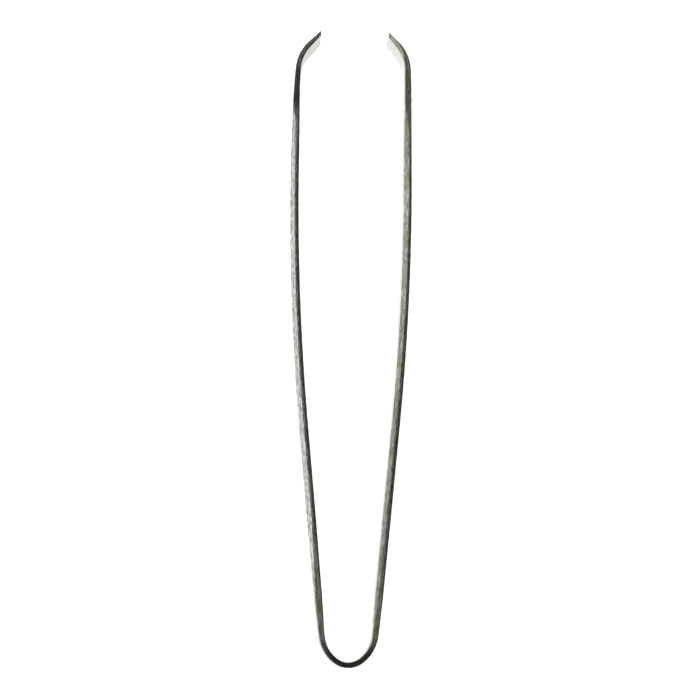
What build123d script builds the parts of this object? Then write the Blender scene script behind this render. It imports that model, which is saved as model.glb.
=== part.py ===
"""One-piece stamp tongs of spring steel.

One strip of spring steel is bent double. The bow at the back is the spring, a spring leg and
a grip arm run forward from each side of it, and the arms end in jaws that turn in and meet
end to end when the tongs are squeezed. The strip is divided where it flexes, so that each
stretch is a piece of its own, cut square to the strip. It is bent and filed by hand, so the
two sides differ a little.

The tongs lie on one long edge of the strip: X runs across them, Y from the bow to the jaws,
and Z is the width of the strip. All sizes are in millimetres and all angles in degrees.
"""

import os
from dataclasses import dataclass
from math import cos, radians, sin

from build123d import *

# The strip, and how far each arm turns in before the jaws meet
overall_length = 120.0
strip_width = 8.0
closing_turn = 3.5

# Half of the bow, as bends of the strip's middle line followed from the back to the side
back_radius, back_turn = 3.9, 35.0
side_radius, side_turn = 6.2, 25.0
front_radius = 7.2
bow_thickness = 1.05

# The legs lean outwards in a straight line, and thicken away from the bow
leg_lean = 5.3
leg_fade_length, leg_straight_length = 7.0, 14.0
leg_root_thickness, leg_thickness = 1.20, 1.48

# The arms go on in line with the legs, then curve until they are nearly parallel
arm_straight_length = 18.0
arm_curve_radius = 486.0

# The strip's long edges are eased, and on the legs and arms filed to a blunt ridge
eased = {"across": 0.12, "down": 0.10}
ridged = {"across": 0.62, "down": 0.42}


@dataclass
class Side:
    """What the bending and filing left different between the two sides.

    The jaws are filed thinner from the shoulder to the tip."""

    arm_root_thickness: float
    arm_front_thickness: float
    arm_curve_turn: float
    arm_fade_length: float
    jaw_root_thickness: float
    shoulder_radius: float
    shoulder_turn: float
    shoulder_thickness: float
    jaw_bend_radius: float
    jaw_neck_thickness: float
    jaw_lean: float
    jaw_length: float
    tip_thickness: float


left_side = Side(
    arm_root_thickness=1.66, arm_front_thickness=1.58, arm_curve_turn=6.21,
    arm_fade_length=8.71, jaw_root_thickness=1.28,
    shoulder_radius=103.0, shoulder_turn=3.57, shoulder_thickness=1.01,
    jaw_bend_radius=7.44, jaw_neck_thickness=0.92,
    jaw_lean=44.2, jaw_length=3.16, tip_thickness=0.60,
)
right_side = Side(
    arm_root_thickness=1.56, arm_front_thickness=1.56, arm_curve_turn=5.28,
    arm_fade_length=16.62, jaw_root_thickness=1.33,
    shoulder_radius=340.0, shoulder_turn=1.04, shoulder_thickness=1.20,
    jaw_bend_radius=7.65, jaw_neck_thickness=1.05,
    jaw_lean=41.7, jaw_length=2.56, tip_thickness=0.68,
)


class Station:
    """A place on the strip's middle line, with the strip's heading and section there."""

    def __init__(self, x, y, heading, thickness, across, down):
        self.point = Vector(x, y, strip_width / 2)
        self.heading = heading
        self.thickness = thickness
        self.across = across
        self.down = down
        self.along = Vector(cos(radians(heading)), sin(radians(heading)))
        self.outward = Vector(sin(radians(heading)), -cos(radians(heading)))

    def ahead(self, length, thickness, edge=eased):
        """The station reached by going straight on."""
        there = self.point + self.along * length
        return Station(there.X, there.Y, self.heading, thickness, **edge)

    def around(self, radius, turn, thickness, edge=eased):
        """The station reached by bending in round an arc."""
        end = radians(self.heading + turn)
        centre = self.point - self.outward * radius
        there = centre + Vector(sin(end), -cos(end)) * radius
        return Station(there.X, there.Y, self.heading + turn, thickness, **edge)


back = Station(0, (bow_thickness - overall_length) / 2, 0, bow_thickness, **eased)
bow_corner = back.around(back_radius, back_turn, bow_thickness)
bow_side = bow_corner.around(side_radius, side_turn, bow_thickness)
leg_root = bow_side.around(front_radius, 90 - leg_lean - bow_side.heading, leg_root_thickness)
leg_full = leg_root.ahead(leg_fade_length, leg_thickness, ridged)


def middle_line(here, there):
    """The strip's middle line between two stations: a straight run or a tangent arc."""
    with BuildLine() as line:
        if here.heading == there.heading:
            Line(here.point, there.point)
        else:
            TangentArc(here.point, there.point, tangent=here.along)
    return line.line


def section(station):
    """The strip's eight-sided section, square to its middle line."""
    half, tall = station.thickness / 2, strip_width / 2
    corners = [(half, tall - station.down), (half - station.across, tall)]
    corners += [(-x, y) for x, y in reversed(corners)]
    corners += [(-x, -y) for x, y in corners]
    with BuildSketch(Plane(station.point, x_dir=station.outward, z_dir=station.along)) as cut:
        Polygon(*corners, align=None)
    return cut.sketch


def strip(*stations):
    """Adds the strip, from each station to the next, to the part being built."""
    for here, there in zip(stations, stations[1:]):
        sweep([section(here), section(there)], path=middle_line(here, there), multisection=True)


with BuildPart() as bow:
    strip(back, bow_corner, bow_side, leg_root)
    mirror(about=Plane.YZ)


def side_pieces(side):
    """Builds the spring leg, grip arm and jaw of one side, lying to the right of the bow."""
    arm_root = leg_full.ahead(leg_straight_length, side.arm_root_thickness, ridged)
    arm_bend = arm_root.ahead(arm_straight_length, side.arm_root_thickness, ridged)
    arm_front = arm_bend.around(
        arm_curve_radius, side.arm_curve_turn, side.arm_front_thickness, ridged
    )
    jaw_root = arm_front.ahead(side.arm_fade_length, side.jaw_root_thickness)
    shoulder = jaw_root.around(
        side.shoulder_radius, side.shoulder_turn, side.shoulder_thickness
    )
    jaw_turn = 90 + side.jaw_lean - shoulder.heading
    jaw_neck = shoulder.around(side.jaw_bend_radius, jaw_turn, side.jaw_neck_thickness)
    jaw_end = jaw_neck.ahead(side.jaw_length, side.tip_thickness)
    jaw_blank = jaw_end.ahead(2 * side.tip_thickness, side.tip_thickness)
    inward = Vector(-1, 0).rotate(Axis.Z, -closing_turn)

    with BuildPart() as spring_leg:
        strip(leg_root, leg_full, arm_root)

    with BuildPart() as grip_arm:
        strip(arm_root, arm_bend, arm_front, jaw_root)

    # The end is cut so that it lies flat against the other jaw's end when the tongs are shut
    with BuildPart() as jaw:
        strip(jaw_root, shoulder, jaw_neck, jaw_end, jaw_blank)
        split(bisect_by=Plane(jaw_end.point, z_dir=inward), keep=Keep.BOTTOM)

    return {"spring_leg": spring_leg.part, "grip_arm": grip_arm.part, "jaw": jaw.part}


os.makedirs("parts", exist_ok=True)

bow.part.label = "bow"
export_step(bow.part, "parts/bow.step")

for name, shape in side_pieces(right_side).items():
    shape.label = f"right_{name}"
    export_step(shape, f"parts/right_{name}.step")

for name, shape in side_pieces(left_side).items():
    with BuildPart() as left_piece:
        mirror(shape, about=Plane.YZ)
    left_piece.part.label = f"left_{name}"
    export_step(left_piece.part, f"parts/left_{name}.step")
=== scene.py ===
"""One-piece stamp tongs of spring steel, as they look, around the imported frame.

One strip of steel is bent double at the bow. Its spring legs lean out to the grip arms, which
end in thin jaws that turn in towards each other. Everything is in metres, in the frame's axes:
X across the tongs, Y from the bow to the jaws and Z up along the width of the strip. All
angles are in degrees.
"""

from dataclasses import dataclass
from math import ceil, cos, radians, sin, tan

import bpy
from mathutils import Matrix, Vector


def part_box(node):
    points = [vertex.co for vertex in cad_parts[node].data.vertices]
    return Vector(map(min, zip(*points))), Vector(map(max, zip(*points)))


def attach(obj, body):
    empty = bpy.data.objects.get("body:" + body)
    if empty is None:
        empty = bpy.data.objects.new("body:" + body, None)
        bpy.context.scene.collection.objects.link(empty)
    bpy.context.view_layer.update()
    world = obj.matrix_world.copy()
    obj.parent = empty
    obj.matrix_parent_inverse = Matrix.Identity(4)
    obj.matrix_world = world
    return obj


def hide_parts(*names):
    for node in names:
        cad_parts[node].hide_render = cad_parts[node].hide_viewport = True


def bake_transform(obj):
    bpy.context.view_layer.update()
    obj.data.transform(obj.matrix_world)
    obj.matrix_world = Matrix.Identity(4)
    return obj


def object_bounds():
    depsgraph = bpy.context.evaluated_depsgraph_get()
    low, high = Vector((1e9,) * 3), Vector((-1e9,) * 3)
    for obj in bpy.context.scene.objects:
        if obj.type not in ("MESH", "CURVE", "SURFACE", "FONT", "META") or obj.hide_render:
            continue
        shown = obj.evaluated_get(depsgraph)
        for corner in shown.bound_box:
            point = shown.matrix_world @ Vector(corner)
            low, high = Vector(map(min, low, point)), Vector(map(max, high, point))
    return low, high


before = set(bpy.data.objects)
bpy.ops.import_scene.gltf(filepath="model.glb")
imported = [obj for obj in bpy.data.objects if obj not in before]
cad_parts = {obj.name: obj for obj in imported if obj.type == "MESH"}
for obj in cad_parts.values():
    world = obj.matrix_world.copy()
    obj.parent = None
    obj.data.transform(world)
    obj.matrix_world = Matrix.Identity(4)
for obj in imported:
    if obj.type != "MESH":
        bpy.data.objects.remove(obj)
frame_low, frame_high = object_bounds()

mm = 0.001


# Camera: a long lens almost straight above the tongs, a little to their left and on the bow's
# side, so that the inner faces of the jaws show under their upper edges.
camera_place = Vector((-15.103, -58.582, 452.562)) * mm
camera_target = Vector((-0.05, -1.13, 8.0)) * mm
camera_up = Vector((-0.0061, 1.0, 0.0))
camera_lens_mm = 123.6
sensor_width_mm = 36.0
nearest_seen, furthest_seen = 10 * mm, 100.0

camera_back = (camera_place - camera_target).normalized()
camera_right = camera_up.cross(camera_back).normalized()
camera_axes = Matrix((camera_right, camera_back.cross(camera_right), camera_back)).transposed()
camera = bpy.data.objects.new("camera", bpy.data.cameras.new("camera"))
camera.data.lens = camera_lens_mm
camera.data.sensor_width = sensor_width_mm
camera.data.clip_start = nearest_seen
camera.data.clip_end = furthest_seen
camera.matrix_world = Matrix.Translation(camera_place) @ camera_axes.to_4x4()
bpy.context.scene.collection.objects.link(camera)
bpy.context.scene.camera = camera
bpy.context.scene.view_settings.view_transform = "Standard"


# Studio: a white cove that is darker on the right, a dark ceiling and one large softbox on the
# left. The bright steel shows little but what it mirrors, so these give its long edges their
# light and dark sides. Where nothing stands in front of it, the camera sees plain white.
cove_light, cove_right_light = 0.95, 0.36
right_from, right_to = 0.2, 0.9
ceiling_light = 0.075
cove_top, ceiling_edge = 0.05, 0.36
softbox_light = 1.5
softbox_height = 20.0
softbox_core, softbox_rim = 14.0, 76.0


def add(tree, kind, inputs=(), **settings):
    """Adds a node, with its settings, and with links or plain values for its inputs."""
    node = tree.nodes.new(kind)
    for name, value in settings.items():
        setattr(node, name, value)
    for name, value in dict(inputs).items():
        if isinstance(value, bpy.types.NodeSocket):
            tree.links.new(value, node.inputs[name])
        else:
            node.inputs[name].default_value = value
    return node


def calc(tree, operation, *values):
    """A Math node's answer."""
    return add(tree, "ShaderNodeMath", enumerate(values), operation=operation).outputs[0]


def vector_calc(tree, operation, *values):
    """A Vector Math node's answer, a number for LENGTH and DOT_PRODUCT."""
    node = add(tree, "ShaderNodeVectorMath", enumerate(values), operation=operation)
    return node.outputs["Value" if operation in ("LENGTH", "DOT_PRODUCT") else "Vector"]


def scaled(tree, vector, scale):
    """A vector, or a colour, times a number."""
    inputs = {"Vector": vector, "Scale": scale}
    return add(tree, "ShaderNodeVectorMath", inputs, operation="SCALE").outputs["Vector"]


def ramp(tree, value, low, high, at_low=0.0, at_high=1.0):
    """Goes smoothly from at_low to at_high as value goes from low to high."""
    inputs = {"Value": value, "From Min": low, "From Max": high,
              "To Min": at_low, "To Max": at_high}
    return add(tree, "ShaderNodeMapRange", inputs, interpolation_type="SMOOTHSTEP").outputs[0]


world = bpy.data.worlds.new("studio")
world.use_nodes = True
bpy.context.scene.world = world
studio = world.node_tree
studio.nodes.clear()
direction = add(studio, "ShaderNodeTexCoord").outputs["Generated"]
axes = add(studio, "ShaderNodeSeparateXYZ", {"Vector": direction}).outputs
wall = ramp(studio, axes["X"], right_from, right_to, cove_light, cove_right_light)
cove = ramp(studio, axes["Z"], cove_top, ceiling_edge, wall, ceiling_light)
softbox_middle = (-cos(radians(softbox_height)), 0.0, sin(radians(softbox_height)))
nearness = vector_calc(studio, "DOT_PRODUCT", direction, softbox_middle)
softbox = ramp(studio, nearness, cos(radians(softbox_rim)), cos(radians(softbox_core)),
               0.0, softbox_light)
mirrored = calc(studio, "MAXIMUM", cove, softbox)
seen = add(studio, "ShaderNodeLightPath").outputs["Is Camera Ray"]
glow = calc(studio, "MAXIMUM", mirrored, seen)
background = add(studio, "ShaderNodeBackground", {"Strength": glow})
add(studio, "ShaderNodeOutputWorld", {"Surface": background.outputs[0]})


# Floor: a sheet of white backlit acrylic that the tongs lie on. It glows of itself, so that no
# shadow shows on it, and its own light fills the inner faces of the arms and jaws.
floor_half = 20.0
floor_gap = 0.02 * mm
floor_white = (0.93, 0.93, 0.92, 1.0)
floor_roughness = 0.9
floor_glow = 1.15

floor_mesh = bpy.data.meshes.new("floor")
floor_height = frame_low.z - floor_gap
floor_corners = [(-1, -1), (1, -1), (1, 1), (-1, 1)]
floor_mesh.from_pydata(
    [(x * floor_half, y * floor_half, floor_height) for x, y in floor_corners],
    [], [(0, 1, 2, 3)],
)
floor = bpy.data.objects.new("floor", floor_mesh)
bpy.context.scene.collection.objects.link(floor)
acrylic = bpy.data.materials.new("backlit acrylic")
acrylic.use_nodes = True
floor_shader = acrylic.node_tree.nodes["Principled BSDF"]
floor_shader.inputs["Base Color"].default_value = floor_white
floor_shader.inputs["Roughness"].default_value = floor_roughness
floor_shader.inputs["Specular IOR Level"].default_value = 0.0
floor_shader.inputs["Emission Color"].default_value = floor_white
floor_shader.inputs["Emission Strength"].default_value = floor_glow
floor_mesh.materials.append(acrylic)


# Bow: the closed end of the tongs and their spring, bent cold from the flat strip round a
# former. It is left as thin as the strip was rolled, with its long edges only eased, and has
# browned a little. Its sizes come first, then how any stretch of the strip is made.
strip_width = frame_high.z - frame_low.z
bow_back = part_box("bow")[0].y
bow_thickness = 1.05 * mm
bow_bends = [(3.9 * mm, 35.0), (6.2 * mm, 25.0)]
bow_last_radius = 7.2 * mm
leg_lean = 5.3
leg_root_thickness = 1.20 * mm
eased = (0.12 * mm, 0.08 * mm)
bow_rust, leg_root_rust = 0.5, 0.9
ring_spacing = 0.2 * mm


def mix(a, b, share):
    return a + (b - a) * share


def mix_edge(a, b, share):
    return tuple(mix(x, y, share) for x, y in zip(a, b))


@dataclass
class Ring:
    """One section of the strip: where it is, how it faces, how it is cut and how it is stained.

    An edge is how far its bevel goes across the strip and down the face. Rust browns the long
    edges, soot blackens them and a rim of painted shade darkens only their two sides, where the
    rounded edge turns from the light, each from 0 to 1. A nick is how far the upper end of the
    inner face is set back."""

    along: float
    middle: Vector
    heading: float
    outward: Vector
    half_thickness: float
    outer_edge: tuple
    inner_edge: tuple
    rust: float
    soot: float = 0.0
    painted_rim_shade: float = 0.0
    half_width: float = strip_width / 2
    nick: float = 0.0


class HalfStrip:
    """One side of the strip, followed forward from the back of the bow.

    Its side is 1 to the right and -1 to the left, where lengths along the strip count down."""

    def __init__(self, side):
        self.side = side
        middle = Vector((0.0, bow_back + bow_thickness / 2, strip_width / 2))
        self.rings = [Ring(
            along=0.0,
            middle=middle,
            heading=0.0,
            outward=self.outward(0.0),
            half_thickness=bow_thickness / 2,
            outer_edge=eased,
            inner_edge=eased,
            rust=bow_rust,
        )]

    def forward(self, heading):
        return Vector((self.side * cos(radians(heading)), sin(radians(heading)), 0.0))

    def outward(self, heading):
        return Vector((self.side * sin(radians(heading)), -cos(radians(heading)), 0.0))

    def run(self, length, thickness, outer_edge=eased, inner_edge=eased, turn=0.0,
            rust=None, soot=0.0):
        """Follows the strip for a length, bending in by turn, and returns the rings there.

        Its thickness, edges, rust and soot change evenly to those given for the far end."""
        start = self.rings[-1]
        rust = start.rust if rust is None else rust
        count = ceil(length / ring_spacing)
        for step in range(1, count + 1):
            share = step / count
            heading = start.heading + turn * share
            if turn:
                turned = self.outward(heading) - self.outward(start.heading)
                middle = start.middle + turned * length / radians(turn)
            else:
                middle = start.middle + self.forward(heading) * length * share
            self.rings.append(Ring(
                along=start.along + self.side * length * share,
                middle=middle,
                heading=heading,
                outward=self.outward(heading),
                half_thickness=mix(start.half_thickness, thickness / 2, share),
                outer_edge=mix_edge(start.outer_edge, outer_edge, share),
                inner_edge=mix_edge(start.inner_edge, inner_edge, share),
                rust=mix(start.rust, rust, share),
                soot=mix(start.soot, soot, share),
            ))
        return self.rings[-count - 1:]

    def bend(self, radius, turn, thickness, outer_edge=eased, inner_edge=eased, **stains):
        """Follows a round bend of the strip, and returns the rings there."""
        length = radius * radians(turn)
        return self.run(length, thickness, outer_edge, inner_edge, turn, **stains)


# The strip's section has eight corners, which are cut by hand, so that each of them wanders
# along the strip. The profile that is swept first only counts points, whatever its radius.
corner_count = 8
points_a_side = 9
corner_radius = 0.06 * mm
corner_share = 0.3
wander_depth = 0.075 * mm
wander_length = 1.7 * mm
wander_seed = 3.0
wander_detail = 2.5
corner_spacing = 5.7
nick_height = 1.6 * mm
points_by_corner = 1.5
crease_angle = 50.0
profile_radius = 0.5 * mm
noise_middle = (0.5, 0.5, 0.5)

mix_sockets = {"FLOAT": (2, 3, 0), "VECTOR": (4, 5, 1), "RGBA": (6, 7, 2)}


def mixed(tree, kind, factor, a, b):
    """A Mix node's answer, a where factor is 0 and b where it is 1."""
    at_zero, at_one, answer = mix_sockets[kind]
    node = add(tree, "ShaderNodeMix", {0: factor, at_zero: a, at_one: b}, data_type=kind)
    return node.outputs[answer]


def stored(tree, name, kind="FLOAT"):
    """What the points of the strip's middle line carry under a name."""
    node = add(tree, "GeometryNodeInputNamedAttribute", {"Name": name}, data_type=kind)
    return node.outputs["Attribute"]


def new_group(name, kind, inputs, outputs):
    """A new node group with sockets of the given types, and its inputs as its nodes get them."""
    tree = bpy.data.node_groups.new(name, kind)
    for in_out, sockets in (("INPUT", inputs), ("OUTPUT", outputs)):
        for socket, socket_type in sockets.items():
            tree.interface.new_socket(socket, in_out=in_out,
                                      socket_type="NodeSocket" + socket_type)
    return tree, add(tree, "NodeGroupInput").outputs


def corner_tree():
    """Places a corner of the strip's section, with X outward from the middle and Y up.

    Corners are counted from the outer face over the top: 0 and 7 end the outer face, 1 and 2
    the flat of the upper edge, 3 and 4 the inner face, 5 and 6 the flat of the lower edge."""
    tree, given = new_group("Strip corner", "GeometryNodeTree", {
        "Corner": "Float", "Wander depth": "Float", "Wander length": "Float", "Seed": "Float",
    }, {"Place": "Vector"})
    middle_corner, quarter = (corner_count - 1) / 2, corner_count / 4
    corner = calc(tree, "FLOORED_MODULO", given["Corner"], corner_count)
    from_middle = calc(tree, "ABSOLUTE", calc(tree, "SUBTRACT", corner, middle_corner))
    outer = calc(tree, "GREATER_THAN", from_middle, quarter)
    upper = calc(tree, "LESS_THAN", corner, middle_corner)
    in_half = calc(tree, "FLOORED_MODULO", corner, 2 * quarter)
    from_flat = calc(tree, "ABSOLUTE", calc(tree, "SUBTRACT", in_half, quarter - 0.5))
    on_flat = calc(tree, "LESS_THAN", from_flat, 1.0)
    on_face = calc(tree, "SUBTRACT", 1.0, on_flat)
    out_sign = calc(tree, "MULTIPLY_ADD", outer, 2.0, -1.0)
    up_sign = calc(tree, "MULTIPLY_ADD", upper, 2.0, -1.0)

    cut = mixed(tree, "VECTOR", outer, stored(tree, "inner_edge", "FLOAT_VECTOR"),
                stored(tree, "outer_edge", "FLOAT_VECTOR"))
    cut = add(tree, "ShaderNodeSeparateXYZ", {"Vector": cut}).outputs
    across = calc(tree, "MULTIPLY", cut["X"], on_flat)
    down = calc(tree, "MULTIPLY", cut["Y"], on_face)
    out = calc(tree, "SUBTRACT", stored(tree, "half_thickness"), across)
    up = calc(tree, "SUBTRACT", stored(tree, "half_width"), down)

    spot = add(tree, "ShaderNodeCombineXYZ", {
        "X": calc(tree, "DIVIDE", stored(tree, "along"), given["Wander length"]),
        "Y": calc(tree, "MULTIPLY", corner, corner_spacing),
        "Z": given["Seed"],
    }).outputs[0]
    noise = add(tree, "ShaderNodeTexNoise",
                {"Vector": spot, "Scale": 1.0, "Detail": wander_detail})
    drift = vector_calc(tree, "SUBTRACT", noise.outputs["Color"], noise_middle)
    drift = scaled(tree, drift, given["Wander depth"])
    drift = add(tree, "ShaderNodeSeparateXYZ", {"Vector": drift}).outputs
    place = add(tree, "ShaderNodeCombineXYZ", {
        "X": calc(tree, "MULTIPLY_ADD", out, out_sign, drift["X"]),
        "Y": calc(tree, "MULTIPLY_ADD", up, up_sign, calc(tree, "MULTIPLY", drift["Y"], on_face)),
    }).outputs[0]
    add(tree, "NodeGroupOutput", {"Place": place})
    return tree


def strip_tree():
    """Sweeps the eight-sided section along a middle line whose points carry the section.

    A ring of numbered points is swept, and every point is then put in its place. The first of
    a side rounds the corner it starts at, and the others lie along it up to the next corner."""
    tree, given = new_group("Steel strip", "GeometryNodeTree", {
        "Middle line": "Geometry", "Points a side": "Float", "Corner radius": "Float",
        "Wander depth": "Float", "Wander length": "Float", "Seed": "Float", "Steel": "Material",
    }, {"Strip": "Geometry"})
    points = given["Points a side"]

    def keep(geometry, value, kind):
        """Geometry that carries a value, and the value as it carries it."""
        node = add(tree, "GeometryNodeCaptureAttribute", {"Geometry": geometry})
        node.capture_items.new(kind, "Value")
        tree.links.new(value, node.inputs[1])
        return node.outputs[0], node.outputs[1]

    def store(geometry, name, value, kind):
        """Geometry whose points carry a value for the steel to read."""
        return add(tree, "GeometryNodeStoreNamedAttribute",
                   {"Geometry": geometry, "Name": name, "Value": value},
                   data_type=kind, domain="POINT").outputs[0]

    profile = add(tree, "GeometryNodeCurvePrimitiveCircle", {
        "Resolution": calc(tree, "MULTIPLY", points, corner_count), "Radius": profile_radius,
    }).outputs["Curve"]
    profile, number = keep(profile, add(tree, "GeometryNodeInputIndex").outputs[0], "INT")
    line = add(tree, "GeometryNodeMeshToCurve", {"Mesh": given["Middle line"]}).outputs["Curve"]
    line, middle = keep(line, add(tree, "GeometryNodeInputPosition").outputs[0], "VECTOR")
    swept = add(tree, "GeometryNodeCurveToMesh",
                {"Curve": line, "Profile Curve": profile, "Fill Caps": True}).outputs["Mesh"]
    corner = calc(tree, "FLOOR", calc(tree, "DIVIDE", number, points))
    step = calc(tree, "SUBTRACT", number, calc(tree, "MULTIPLY", corner, points))

    group = corner_tree()

    def corner_at(offset):
        node = add(tree, "GeometryNodeGroup", node_tree=group)
        tree.links.new(calc(tree, "ADD", corner, offset), node.inputs["Corner"])
        for name in ("Wander depth", "Wander length", "Seed"):
            tree.links.new(given[name], node.inputs[name])
        return node.outputs["Place"]

    def rounding(side_length):
        """How far along a side its corner's rounding reaches."""
        longest = calc(tree, "MULTIPLY", side_length, corner_share)
        return calc(tree, "MINIMUM", given["Corner radius"], longest)

    here = corner_at(0.0)
    to_next = vector_calc(tree, "SUBTRACT", corner_at(1.0), here)
    to_last = vector_calc(tree, "SUBTRACT", corner_at(-1.0), here)
    next_length = vector_calc(tree, "LENGTH", to_next)
    round_next = rounding(next_length)
    round_last = rounding(vector_calc(tree, "LENGTH", to_last))
    ahead = vector_calc(tree, "NORMALIZE", to_next)
    behind = vector_calc(tree, "NORMALIZE", to_last)
    share = calc(tree, "DIVIDE", calc(tree, "SUBTRACT", step, 1.0),
                 calc(tree, "SUBTRACT", points, 2.0))
    reach = ramp(tree, share, 0.0, 1.0, round_next,
                 calc(tree, "SUBTRACT", next_length, round_next))
    on_side = scaled(tree, ahead, reach)
    # A corner's own point is drawn in a quarter of the way to both ends of its rounding
    pull = vector_calc(tree, "ADD", scaled(tree, ahead, round_next),
                       scaled(tree, behind, round_last))
    pull = scaled(tree, pull, 0.25)
    at_corner = calc(tree, "LESS_THAN", step, 0.5)
    offset = mixed(tree, "VECTOR", at_corner, on_side, pull)
    place = add(tree, "ShaderNodeSeparateXYZ",
                {"Vector": vector_calc(tree, "ADD", here, offset)}).outputs

    # A nick takes the upper end of the inner face away
    in_nick = ramp(tree, place["Y"], strip_width / 2 - nick_height, strip_width / 2)
    inner = calc(tree, "LESS_THAN", place["X"], 0.0)
    nick = calc(tree, "MULTIPLY", stored(tree, "nick"), calc(tree, "MULTIPLY", in_nick, inner))
    out = calc(tree, "ADD", place["X"], nick)
    moved = vector_calc(tree, "ADD", middle,
                        scaled(tree, stored(tree, "outward", "FLOAT_VECTOR"), out))
    moved = vector_calc(tree, "ADD", moved,
                        add(tree, "ShaderNodeCombineXYZ", {"Z": place["Y"]}).outputs[0])
    shaped = add(tree, "GeometryNodeSetPosition",
                 {"Geometry": swept, "Position": moved}).outputs[0]

    # For the steel: where each point is in the strip, and whether it is beside a corner
    in_strip = add(tree, "ShaderNodeCombineXYZ",
                   {"X": stored(tree, "along"), "Y": out, "Z": place["Y"]}).outputs[0]
    shaped = store(shaped, "in_strip", in_strip, "FLOAT_VECTOR")
    half_side = calc(tree, "MULTIPLY", points, 0.5)
    from_half = calc(tree, "ABSOLUTE", calc(tree, "SUBTRACT", step, half_side))
    by_corner = calc(tree, "GREATER_THAN", from_half,
                     calc(tree, "SUBTRACT", half_side, points_by_corner))
    shaped = store(shaped, "by_corner", by_corner, "FLOAT")

    angle = add(tree, "GeometryNodeInputMeshEdgeAngle").outputs["Unsigned Angle"]
    creased = calc(tree, "GREATER_THAN", angle, radians(crease_angle))
    shaped = add(tree, "GeometryNodeSetShadeSmooth",
                 {"Geometry": shaped, "Selection": creased, "Shade Smooth": False},
                 domain="EDGE").outputs[0]
    shaped = add(tree, "GeometryNodeFlipFaces", {"Mesh": shaped}).outputs[0]
    whole = add(tree, "GeometryNodeRealizeInstances", {"Geometry": shaped}).outputs[0]
    finished = add(tree, "GeometryNodeSetMaterial",
                   {"Geometry": whole, "Material": given["Steel"]}).outputs[0]
    add(tree, "NodeGroupOutput", {"Strip": finished})
    return tree


steel_strip = strip_tree()


def strip_piece(name, side, rings, steel):
    """Makes a stretch of the strip as a closed mesh. Rings run from left to right."""
    rings = rings if side > 0 else rings[::-1]
    line = bpy.data.meshes.new(name)
    middles = [ring.middle for ring in rings]
    line.from_pydata(middles, [(i, i + 1) for i in range(len(middles) - 1)], [])

    def store(attribute, kind, values):
        layer = line.attributes.new(attribute, kind, "POINT")
        if kind == "FLOAT":
            layer.data.foreach_set("value", values)
        else:
            layer.data.foreach_set("vector", [x for value in values for x in value])

    store("outward", "FLOAT_VECTOR", [ring.outward for ring in rings])
    store("outer_edge", "FLOAT_VECTOR", [(*ring.outer_edge, 0.0) for ring in rings])
    store("inner_edge", "FLOAT_VECTOR", [(*ring.inner_edge, 0.0) for ring in rings])
    for attribute in ("along", "half_thickness", "half_width", "nick", "rust", "soot", "painted_rim_shade"):
        store(attribute, "FLOAT", [getattr(ring, attribute) for ring in rings])
    raw = bpy.data.objects.new(name + "_line", line)
    bpy.context.scene.collection.objects.link(raw)
    sweep = raw.modifiers.new("sweep", "NODES")
    sweep.node_group = steel_strip
    values = {"Points a side": points_a_side, "Corner radius": corner_radius,
              "Wander depth": wander_depth, "Wander length": wander_length,
              "Seed": wander_seed, "Steel": steel}
    for socket in steel_strip.interface.items_tree:
        if socket.in_out == "INPUT" and socket.name in values:
            sweep[socket.identifier] = values[socket.name]
    mesh = bpy.data.meshes.new_from_object(
        raw.evaluated_get(bpy.context.evaluated_depsgraph_get()))
    mesh.name = name
    bpy.data.objects.remove(raw)
    piece = bpy.data.objects.new(name, mesh)
    bpy.context.scene.collection.objects.link(piece)
    return piece


# The steel is left in three ways, as rolled, filed and ground, one after another along the
# strip. It is streaked, browned in patches and pitted, and its outer faces are the darker ones.
patch_size, fleck_size = 5.0 * mm, 0.45 * mm
fleck_stretch = (0.45, 1.0, 1.0)
face_rust, clear_rust = 0.12, 0.3
outside_shade, outside_fade = 0.62, 0.1 * mm
face_to, long_edge_from = strip_width / 2 - 0.7 * mm, strip_width / 2 - 0.4 * mm
# Where the painted shade on the rims lies across a long edge, as shares of half the thickness
# from the middle
rim_shade_from, rim_shade_to = 0.25, 0.6
# Lighter colour beside the corners, for wear and as a painted highlight along the creases
worn_and_highlight_colour, worn_and_highlight_share = (0.66, 0.65, 0.61, 1.0), 0.30
fleck_colour, fleck_share = (0.10, 0.095, 0.075, 1.0), 0.6
scratch_depth, pit_depth = 0.4, 0.8
streak_from, streak_to = 0.37, 0.63
scratch_from, scratch_to = 0.50, 0.72
scratch_fineness, scratch_shift = 3.1, (17.3, 4.1, 9.7)
patch_from, patch_to = 0.45, 0.70
fleck_from, fleck_to = 0.60, 0.72


def grain_group():
    """Streaks as a file or a grinding belt leaves them, longer one way than the others."""
    tree, given = new_group("Steel grain", "ShaderNodeTree",
                            {"Place": "Vector", "Marks a metre": "Vector"},
                            {"Streaks": "Float", "Scratches": "Float"})
    spot = vector_calc(tree, "MULTIPLY", given["Place"], given["Marks a metre"])
    broad = add(tree, "ShaderNodeTexNoise",
                {"Vector": spot, "Scale": 1.0, "Detail": 4.0, "Roughness": 0.62})
    finer = vector_calc(tree, "ADD", scaled(tree, spot, scratch_fineness), scratch_shift)
    fine = add(tree, "ShaderNodeTexNoise",
               {"Vector": finer, "Scale": 1.0, "Detail": 2.0, "Roughness": 0.6})
    add(tree, "NodeGroupOutput", {
        "Streaks": ramp(tree, broad.outputs["Fac"], streak_from, streak_to),
        "Scratches": ramp(tree, fine.outputs["Fac"], scratch_from, scratch_to),
    })
    return tree


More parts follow.
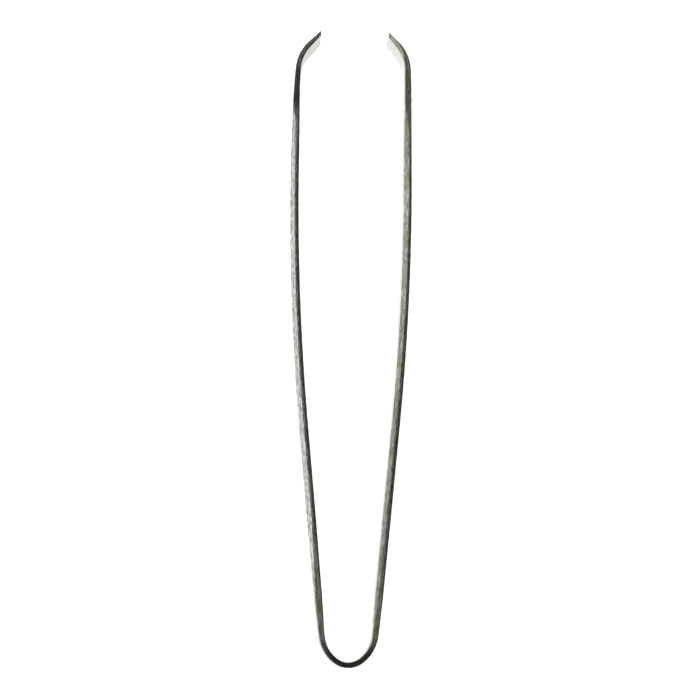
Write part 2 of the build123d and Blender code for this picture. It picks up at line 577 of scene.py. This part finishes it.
def tarnish_group():
    """Patches where the steel has browned, and the dark flecks of old rust pits."""
    tree, given = new_group("Steel tarnish", "ShaderNodeTree",
                            {"Place": "Vector", "Patch size": "Float", "Fleck size": "Float"},
                            {"Patches": "Float", "Flecks": "Float"})
    wide = scaled(tree, given["Place"], calc(tree, "DIVIDE", 1.0, given["Patch size"]))
    patches = add(tree, "ShaderNodeTexNoise", {"Vector": wide, "Scale": 1.0, "Detail": 4.0})
    small = scaled(tree, given["Place"], calc(tree, "DIVIDE", 1.0, given["Fleck size"]))
    small = vector_calc(tree, "MULTIPLY", small, fleck_stretch)
    flecks = add(tree, "ShaderNodeTexNoise", {"Vector": small, "Scale": 1.0, "Detail": 2.0})
    add(tree, "NodeGroupOutput", {
        "Patches": ramp(tree, patches.outputs["Fac"], patch_from, patch_to),
        "Flecks": ramp(tree, flecks.outputs["Fac"], fleck_from, fleck_to),
    })
    return tree


steel_grain = grain_group()
steel_tarnish = tarnish_group()


@dataclass
class Finish:
    """How the steel is left on the strip's two faces, and on its long edges where they differ.

    Marks are streaks a metre along, across and up."""

    dark: tuple
    light: tuple
    edge_dark: tuple
    edge_light: tuple
    brown: tuple
    smooth: float
    rough: float
    marks: tuple
    edge_marks: tuple
    bump: float


def steel(material_name, near, far, change_from, change_to):
    """Steel whose finish goes from near to far between two lengths from the bow's back."""
    material = bpy.data.materials.new(material_name)
    material.use_nodes = True
    tree = material.node_tree
    shader = tree.nodes["Principled BSDF"]

    def carried(name, output="Fac"):
        """What the strip's own points carry under a name."""
        return add(tree, "ShaderNodeAttribute", attribute_name=name).outputs[output]

    place = carried("in_strip", "Vector")
    axes = add(tree, "ShaderNodeSeparateXYZ", {"Vector": place}).outputs
    far_share = ramp(tree, calc(tree, "ABSOLUTE", axes["X"]), change_from, change_to)
    on_edge = ramp(tree, calc(tree, "ABSOLUTE", axes["Z"]), face_to, long_edge_from)

    def colours(a, b, factor=far_share):
        return mixed(tree, "RGBA", factor, a, b)

    def numbers(a, b, factor=far_share):
        return mixed(tree, "FLOAT", factor, a, b)

    def grain(marks):
        return add(tree, "ShaderNodeGroup", {"Place": place, "Marks a metre": marks},
                   node_tree=steel_grain).outputs

    near_face, far_face = grain(near.marks), grain(far.marks)
    near_edge, far_edge = grain(near.edge_marks), grain(far.edge_marks)

    def everywhere(mark):
        return numbers(numbers(near_face[mark], far_face[mark]),
                       numbers(near_edge[mark], far_edge[mark]), on_edge)

    streaks, scratches = everywhere("Streaks"), everywhere("Scratches")
    tarnish = add(tree, "ShaderNodeGroup", {
        "Place": place, "Patch size": patch_size, "Fleck size": fleck_size,
    }, node_tree=steel_tarnish).outputs

    # Streaked steel, duller on the outer faces
    face = colours(colours(near.dark, far.dark), colours(near.light, far.light), streaks)
    shade = ramp(tree, axes["Y"], -outside_fade, outside_fade, 1.0, outside_shade)
    long_edge = colours(colours(near.edge_dark, far.edge_dark),
                        colours(near.edge_light, far.edge_light), streaks)
    colour = colours(scaled(tree, face, shade), long_edge, on_edge)

    # Browned most on the long edges, and most of all in patches
    browned = calc(tree, "MULTIPLY", carried("rust"), numbers(face_rust, 1.0, on_edge))
    browned = calc(tree, "MULTIPLY", browned, numbers(clear_rust, 1.0, tarnish["Patches"]))
    colour = colours(colour, colours(near.brown, far.brown), browned)

    # Rubbed bright beside the corners: wear, and a painted highlight along the creases
    worn_and_highlight = calc(tree, "MULTIPLY", carried("by_corner"), streaks)
    colour = colours(colour, worn_and_highlight_colour, calc(tree, "MULTIPLY", worn_and_highlight, worn_and_highlight_share))

    # Blackened by soot, dark in the pits, and darkened by painted shade on the rims of the long
    # edges, where their rounding turns from the light
    off_middle = calc(tree, "DIVIDE", calc(tree, "ABSOLUTE", axes["Y"]),
                      carried("half_thickness"))
    painted_rim_shade = calc(tree, "MULTIPLY", carried("painted_rim_shade"), ramp(tree, off_middle, rim_shade_from, rim_shade_to))
    black = calc(tree, "MULTIPLY", calc(tree, "MAXIMUM", carried("soot"), painted_rim_shade), on_edge)
    pits = calc(tree, "MULTIPLY", tarnish["Flecks"], fleck_share)
    colour = colours(colour, fleck_colour, calc(tree, "MAXIMUM", black, pits))

    roughness = numbers(numbers(near.smooth, far.smooth), numbers(near.rough, far.rough),
                        scratches)
    relief = calc(tree, "MULTIPLY_ADD", scratches, scratch_depth, streaks)
    relief = calc(tree, "SUBTRACT", relief, calc(tree, "MULTIPLY", tarnish["Flecks"], pit_depth))
    relief = calc(tree, "MULTIPLY", relief, numbers(near.bump, far.bump))
    bump = add(tree, "ShaderNodeBump", {"Height": relief, "Strength": 1.0, "Distance": 1.0})
    tree.links.new(colour, shader.inputs["Base Color"])
    tree.links.new(roughness, shader.inputs["Roughness"])
    tree.links.new(bump.outputs[0], shader.inputs["Normal"])
    shader.inputs["Metallic"].default_value = 1.0
    return material


rolled = Finish(
    dark=(0.27, 0.26, 0.22, 1.0), light=(0.44, 0.43, 0.38, 1.0),
    edge_dark=(0.085, 0.083, 0.07, 1.0), edge_light=(0.17, 0.165, 0.14, 1.0),
    brown=(0.20, 0.145, 0.105, 1.0),
    smooth=0.30, rough=0.44, marks=(320.0, 3200.0, 3200.0), edge_marks=(500.0, 2600.0, 2600.0),
    bump=0.006 * mm,
)
filed = Finish(
    dark=(0.40, 0.395, 0.375, 1.0), light=(0.64, 0.635, 0.61, 1.0),
    edge_dark=(0.33, 0.328, 0.305, 1.0), edge_light=(0.72, 0.715, 0.685, 1.0),
    brown=(0.35, 0.34, 0.215, 1.0),
    smooth=0.28, rough=0.46, marks=(420.0, 4200.0, 4200.0), edge_marks=(950.0, 3400.0, 3400.0),
    bump=0.017 * mm,
)
rolled_to, filed_from = 3.5 * mm, 8.5 * mm
spring_steel = steel("spring_steel", rolled, filed, rolled_to, filed_from)

sides = {"left": HalfStrip(-1), "right": HalfStrip(1)}
for half in sides.values():
    for radius, turn in bow_bends:
        half.bend(radius, turn, bow_thickness)
    last_turn = 90 - leg_lean - half.rings[-1].heading
    half.bend(bow_last_radius, last_turn, leg_root_thickness, rust=leg_root_rust)

bow_rings = sides["left"].rings[::-1] + sides["right"].rings[1:]
bow = strip_piece("bow_strip", 1, bow_rings, spring_steel)
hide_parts("bow")
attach(bow, "bow")


# Spring legs: the straight runs either side of the bow, thicker than it and filed along their
# long edges to a blunt ridge. As springs they flex with the bow, and they run on without a seam
# into the straight start of the grip arms.
leg_fade_length, leg_straight_length = 7.0 * mm, 14.0 * mm
arm_straight_length = 18.0 * mm
leg_thickness = 1.48 * mm
arm_root_thickness = {"left": 1.66 * mm, "right": 1.56 * mm}
leg_edges = {
    "left": ((0.22 * mm, 0.14 * mm), (0.20 * mm, 0.07 * mm)),
    "right": ((0.30 * mm, 0.10 * mm), (0.55 * mm, 0.10 * mm)),
}
arm_root_edges = {
    "left": ((0.80 * mm, 0.46 * mm), (0.50 * mm, 0.17 * mm)),
    "right": ((0.50 * mm, 0.17 * mm), (0.74 * mm, 0.16 * mm)),
}
leg_rust = {"left": 0.9, "right": 0.55}
arm_rust = {"left": 0.05, "right": 0.75}

for name, half in sides.items():
    root = half.run(leg_fade_length, leg_thickness, *leg_edges[name], rust=leg_rust[name])
    leg_root = strip_piece(name + "_leg_root", half.side, root, spring_steel)
    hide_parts(name + "_spring_leg")
    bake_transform(leg_root)

    leg = half.run(leg_straight_length, arm_root_thickness[name], *arm_root_edges[name],
                   rust=arm_rust[name])
    leg += half.run(arm_straight_length, arm_root_thickness[name], *arm_root_edges[name])[1:]
    spring_leg = strip_piece(name + "_leg_and_arm_root", half.side, leg, spring_steel)
    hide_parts(name + "_spring_leg", name + "_grip_arm")
    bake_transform(spring_leg)


# Grip arms: the long, barely curved runs that the fingers press. Both long edges are filed by
# hand to a ridge that wanders along the arm and fades out before the jaws. The right arm has a
# small nick in its inner edge, and the left is blackened where its jaw begins.
arm_curve_radius = 486.0 * mm
arm_curve_turn = {"left": 6.21, "right": 5.28}
arm_front_thickness = {"left": 1.58 * mm, "right": 1.56 * mm}
arm_fade_length = {"left": 8.71 * mm, "right": 16.62 * mm}
jaw_root_thickness = {"left": 1.28 * mm, "right": 1.33 * mm}
arm_front_edges = {
    "left": ((0.78 * mm, 0.42 * mm), (0.44 * mm, 0.16 * mm)),
    "right": ((0.34 * mm, 0.13 * mm), (1.00 * mm, 0.30 * mm)),
}
arm_end_edges = {
    "left": ((0.58 * mm, 0.26 * mm), (0.30 * mm, 0.06 * mm)),
    "right": ((0.22 * mm, 0.09 * mm), (0.98 * mm, 0.20 * mm)),
}
arm_end_share = 0.6
arm_end_soot = {"left": 0.1, "right": 0.0}
jaw_root_rust = {"left": 0.2, "right": 0.9}
jaw_root_soot = {"left": 0.95, "right": 0.25}
nick_front, nick_length, nick_depth = 26.6 * mm, 2.6 * mm, 0.26 * mm
nick_fall = 1.5

for name, half in sides.items():
    arm = half.bend(arm_curve_radius, arm_curve_turn[name], arm_front_thickness[name],
                    *arm_front_edges[name])
    arm_end_thickness = mix(arm_front_thickness[name], jaw_root_thickness[name], arm_end_share)
    arm += half.run(arm_fade_length[name] * arm_end_share, arm_end_thickness,
                    *arm_end_edges[name], soot=arm_end_soot[name])[1:]
    arm += half.run(arm_fade_length[name] * (1 - arm_end_share), jaw_root_thickness[name],
                    rust=jaw_root_rust[name], soot=jaw_root_soot[name])[1:]
    if name == "right":
        for ring in arm:
            share = (nick_front - ring.middle.y) / nick_length
            if 0 < share < 1:
                ring.nick = nick_depth * (1 - share) ** nick_fall
    grip_arm = strip_piece(name + "_grip_arm_strip", half.side, arm, spring_steel)
    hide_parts(name + "_grip_arm")
    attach(grip_arm, name + "_arm")


# Jaws: the ends of the strip, bent in and ground thin. Their inner faces are ground across the
# strip and left bright, and their ends are cut so that they meet flat when the tongs are shut.
# The right jaw has a wide inner bevel, and the left one's long edges have dark rims of painted
# shade, where their rounding turns from the light.
closing_turn = 3.5
shoulder_radius = {"left": 103.0 * mm, "right": 340.0 * mm}
shoulder_turn = {"left": 3.57, "right": 1.04}
shoulder_thickness = {"left": 1.01 * mm, "right": 1.20 * mm}
jaw_bend_radius = {"left": 7.44 * mm, "right": 7.65 * mm}
jaw_neck_thickness = {"left": 0.92 * mm, "right": 1.05 * mm}
jaw_lean = {"left": 44.2, "right": 41.7}
jaw_length = {"left": 3.16 * mm, "right": 2.56 * mm}
tip_thickness = {"left": 0.60 * mm, "right": 0.68 * mm}
bevel_start = 0.35
jaw_edges = {
    "left": ((0.12 * mm, 0.09 * mm), (0.16 * mm, 0.08 * mm)),
    "right": ((0.06 * mm, 0.06 * mm), (0.86 * mm, 0.26 * mm)),
}
tip_edges = {
    "left": ((0.07 * mm, 0.06 * mm), (0.08 * mm, 0.06 * mm)),
    "right": ((0.05 * mm, 0.05 * mm), (0.50 * mm, 0.16 * mm)),
}
shoulder_soot = {"left": 0.75, "right": 0.1}
# How strongly painted shade darkens the rims of each jaw's long edges
jaw_rim_shade = {"left": 0.85, "right": 0.0}
tip_rust = {"left": 0.2, "right": 0.9}
tip_soot, tip_soot_length = 0.85, 0.8 * mm
tip_round = 0.09 * mm
tip_round_angles = (20, 40, 60, 80)
slant_from, slant_to = 1.4 * mm, 0.3 * mm

ground = Finish(
    dark=(0.42, 0.416, 0.41, 1.0), light=(0.60, 0.596, 0.59, 1.0),
    edge_dark=(0.66, 0.655, 0.57, 1.0), edge_light=(0.97, 0.96, 0.86, 1.0),
    brown=(0.60, 0.55, 0.40, 1.0),
    smooth=0.30, rough=0.48, marks=(3600.0, 500.0, 380.0), edge_marks=(1500.0, 3400.0, 3400.0),
    bump=0.010 * mm,
)
filed_to, ground_from = 119 * mm, 125 * mm
jaw_steel = steel("jaw_steel", filed, ground, filed_to, ground_from)

for name, half in sides.items():
    jaw = half.bend(shoulder_radius[name], shoulder_turn[name], shoulder_thickness[name],
                    soot=shoulder_soot[name])
    jaw_turn = 90 + jaw_lean[name] - half.rings[-1].heading
    bevel_thickness = mix(shoulder_thickness[name], jaw_neck_thickness[name], bevel_start)
    jaw += half.bend(jaw_bend_radius[name], jaw_turn * bevel_start, bevel_thickness)[1:]
    jaw += half.bend(jaw_bend_radius[name], jaw_turn * (1 - bevel_start),
                     jaw_neck_thickness[name], *jaw_edges[name])[1:]
    jaw += half.run(jaw_length[name] - tip_round, tip_thickness[name], *tip_edges[name],
                    rust=tip_rust[name])[1:]

    # The rings near the end lean over, each more than the last, to lie along its slant
    end = half.rings[-1]
    slant = -tan(radians(end.heading + closing_turn))
    for ring in jaw:
        to_end = tip_round + abs(end.along - ring.along)
        ring.soot = max(ring.soot, tip_soot * (1 - to_end / tip_soot_length))
        ring.painted_rim_shade = jaw_rim_shade[name]
        share = min(1.0, max(0.0, (slant_from - to_end) / (slant_from - slant_to)))
        ring.outward = ring.outward + half.forward(ring.heading) * slant * share

    # The end is rounded over on all four sides
    for angle in tip_round_angles:
        reach, inset = tip_round * sin(radians(angle)), tip_round * (1 - cos(radians(angle)))
        jaw.append(Ring(
            along=end.along + half.side * reach,
            middle=end.middle + half.forward(end.heading) * reach,
            heading=end.heading,
            outward=end.outward,
            half_thickness=end.half_thickness - inset,
            outer_edge=end.outer_edge,
            inner_edge=end.inner_edge,
            rust=end.rust,
            soot=tip_soot,
            half_width=end.half_width - inset,
        ))
    jaw_strip = strip_piece(name + "_jaw_strip", half.side, jaw, jaw_steel)
    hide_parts(name + "_jaw")
    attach(jaw_strip, name + "_arm")
